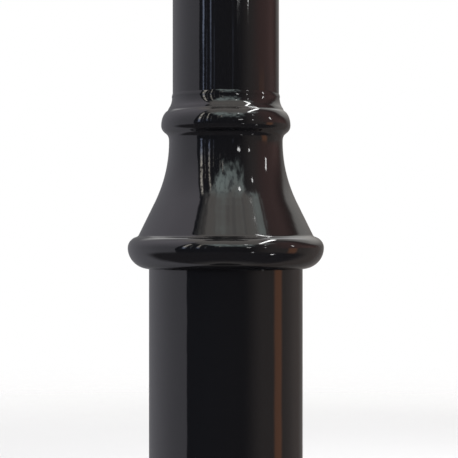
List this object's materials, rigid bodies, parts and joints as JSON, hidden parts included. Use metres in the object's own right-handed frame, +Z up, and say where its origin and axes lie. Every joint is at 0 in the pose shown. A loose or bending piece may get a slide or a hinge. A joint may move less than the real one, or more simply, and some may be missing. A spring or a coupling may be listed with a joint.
{
  "type": "street clock",
  "caption": "Post-mounted double-sided street clock: stepped round post with moulded bell collar, drum head, hinged glazed bezels, dials with hands, scrolls and finial.",
  "frame": {"origin": "centre of the base, on the ground", "axes": "+Z up the post; the front dial and the access door face -Y, the rear dial faces +Y"},
  "size_m": [0.814, 0.44, 3.499],
  "materials": {
    "black_paint": "high-gloss black enamel over cast and tubular metal",
    "galvanised": "hot-dip galvanised steel",
    "stainless": "turned stainless steel",
    "dial_face": "opal acrylic, satin, lit from behind",
    "clear_glass": "clear toughened flat glass",
    "seal_rubber": "matt black sponge rubber",
    "grey_plastic": "moulded grey plastic",
    "light_board": "white-faced metal board",
    "hand_enamel": "black enamel on sheet aluminium",
    "brass": "turned brass"
  },
  "bodies": {
    "post": {"base_plate": "galvanised", "anchor_bolt_1": "galvanised", "anchor_bolt_2": "galvanised", "anchor_bolt_3": "galvanised", "anchor_bolt_4": "galvanised", "base_cover_front": "black_paint", "base_cover_rear": "black_paint", "lower_tube": "black_paint", "shaft_reducer": "galvanised", "upper_shaft": "black_paint", "post_collar": "black_paint", "collar_screw_left": "stainless", "collar_screw_right": "stainless", "scroll_ring": "black_paint", "scroll_right": "black_paint", "scroll_left": "black_paint", "capital": "black_paint", "door_hinge_bracket": "black_paint", "door_hinge_pin": "stainless", "backboard": "grey_plastic", "isolator_box": "grey_plastic", "clock_controller": "grey_plastic", "cable_conduit": "grey_plastic", "drum_saddle": "black_paint", "finial": "black_paint", "drum_case": "black_paint", "drum_rim_front": "black_paint", "drum_rim_rear": "black_paint", "movement_frame": "galvanised", "light_driver": "grey_plastic", "dial_front": "dial_face", "dial_seal_front": "seal_rubber", "bezel_hinge_bracket_front": "black_paint", "bezel_hinge_pin_front": "stainless", "movement_front": "grey_plastic", "light_board_front": "light_board", "dial_rear": "dial_face", "dial_seal_rear": "seal_rubber", "bezel_hinge_bracket_rear": "black_paint", "bezel_hinge_pin_rear": "stainless", "movement_rear": "grey_plastic", "light_board_rear": "light_board"},
    "access_door": {"access_door": "black_paint"},
    "door_lock": {"door_lock": "stainless"},
    "bezel_front": {"bezel_front": "black_paint", "glass_front": "clear_glass"},
    "bezel_rear": {"bezel_rear": "black_paint", "glass_rear": "clear_glass"},
    "bezel_fastener_front": {"bezel_fastener_front": "stainless"},
    "bezel_fastener_rear": {"bezel_fastener_rear": "stainless"},
    "minute_front": {"minute_hand_front": "hand_enamel", "minute_arbor_front": "stainless", "hand_nut_front": "brass"},
    "hour_front": {"hour_hand_front": "hand_enamel", "hour_tube_front": "brass"},
    "minute_rear": {"minute_hand_rear": "hand_enamel", "minute_arbor_rear": "stainless", "hand_nut_rear": "brass"},
    "hour_rear": {"hour_hand_rear": "hand_enamel", "hour_tube_rear": "brass"}
  },
  "joints": [
    {"name": "access_door_hinge", "type": "hinge", "parent": "post", "child": "access_door", "pos_m": [-0.05737, -0.066, 0.705], "axis": [0, 0, -1], "range_deg": [0, 110]},
    {"name": "door_lock_turn", "type": "hinge", "parent": "access_door", "child": "door_lock", "pos_m": [0.02993, -0.08222, 0.705], "axis": [-0.342, 0.9397, 0], "range_deg": [0, 90]},
    {"name": "bezel_front_hinge", "type": "hinge", "parent": "post", "child": "bezel_front", "pos_m": [-0.4, -0.112, 2.895], "axis": [0, 0, -1], "range_deg": [0, 110]},
    {"name": "bezel_rear_hinge", "type": "hinge", "parent": "post", "child": "bezel_rear", "pos_m": [0.4, 0.112, 2.895], "axis": [0, 0, -1], "range_deg": [0, 110]},
    {"name": "bezel_front_fastener_turn", "type": "hinge", "parent": "bezel_front", "child": "bezel_fastener_front", "pos_m": [0.373, -0.14, 2.895], "axis": [0, -1, 0], "range_deg": [0, 90]},
    {"name": "bezel_rear_fastener_turn", "type": "hinge", "parent": "bezel_rear", "child": "bezel_fastener_rear", "pos_m": [-0.373, 0.14, 2.895], "axis": [0, 1, 0], "range_deg": [0, 90]},
    {"name": "minute_front_turn", "type": "hinge", "parent": "post", "child": "minute_front", "pos_m": [0, -0.125, 2.895], "axis": [0, 1, 0], "continuous": true},
    {"name": "hour_front_turn", "type": "hinge", "parent": "post", "child": "hour_front", "pos_m": [0, -0.117, 2.895], "axis": [0, 1, 0], "continuous": true},
    {"name": "minute_rear_turn", "type": "hinge", "parent": "post", "child": "minute_rear", "pos_m": [0, 0.125, 2.895], "axis": [0, -1, 0], "continuous": true},
    {"name": "hour_rear_turn", "type": "hinge", "parent": "post", "child": "hour_rear", "pos_m": [0, 0.117, 2.895], "axis": [0, -1, 0], "continuous": true}
  ],
  "couplings": [
    {"joint": "hour_front_turn", "follows": "minute_front_turn", "ratio": 0.083333},
    {"joint": "minute_rear_turn", "follows": "minute_front_turn", "ratio": 1},
    {"joint": "hour_rear_turn", "follows": "minute_front_turn", "ratio": 0.083333}
  ]
}
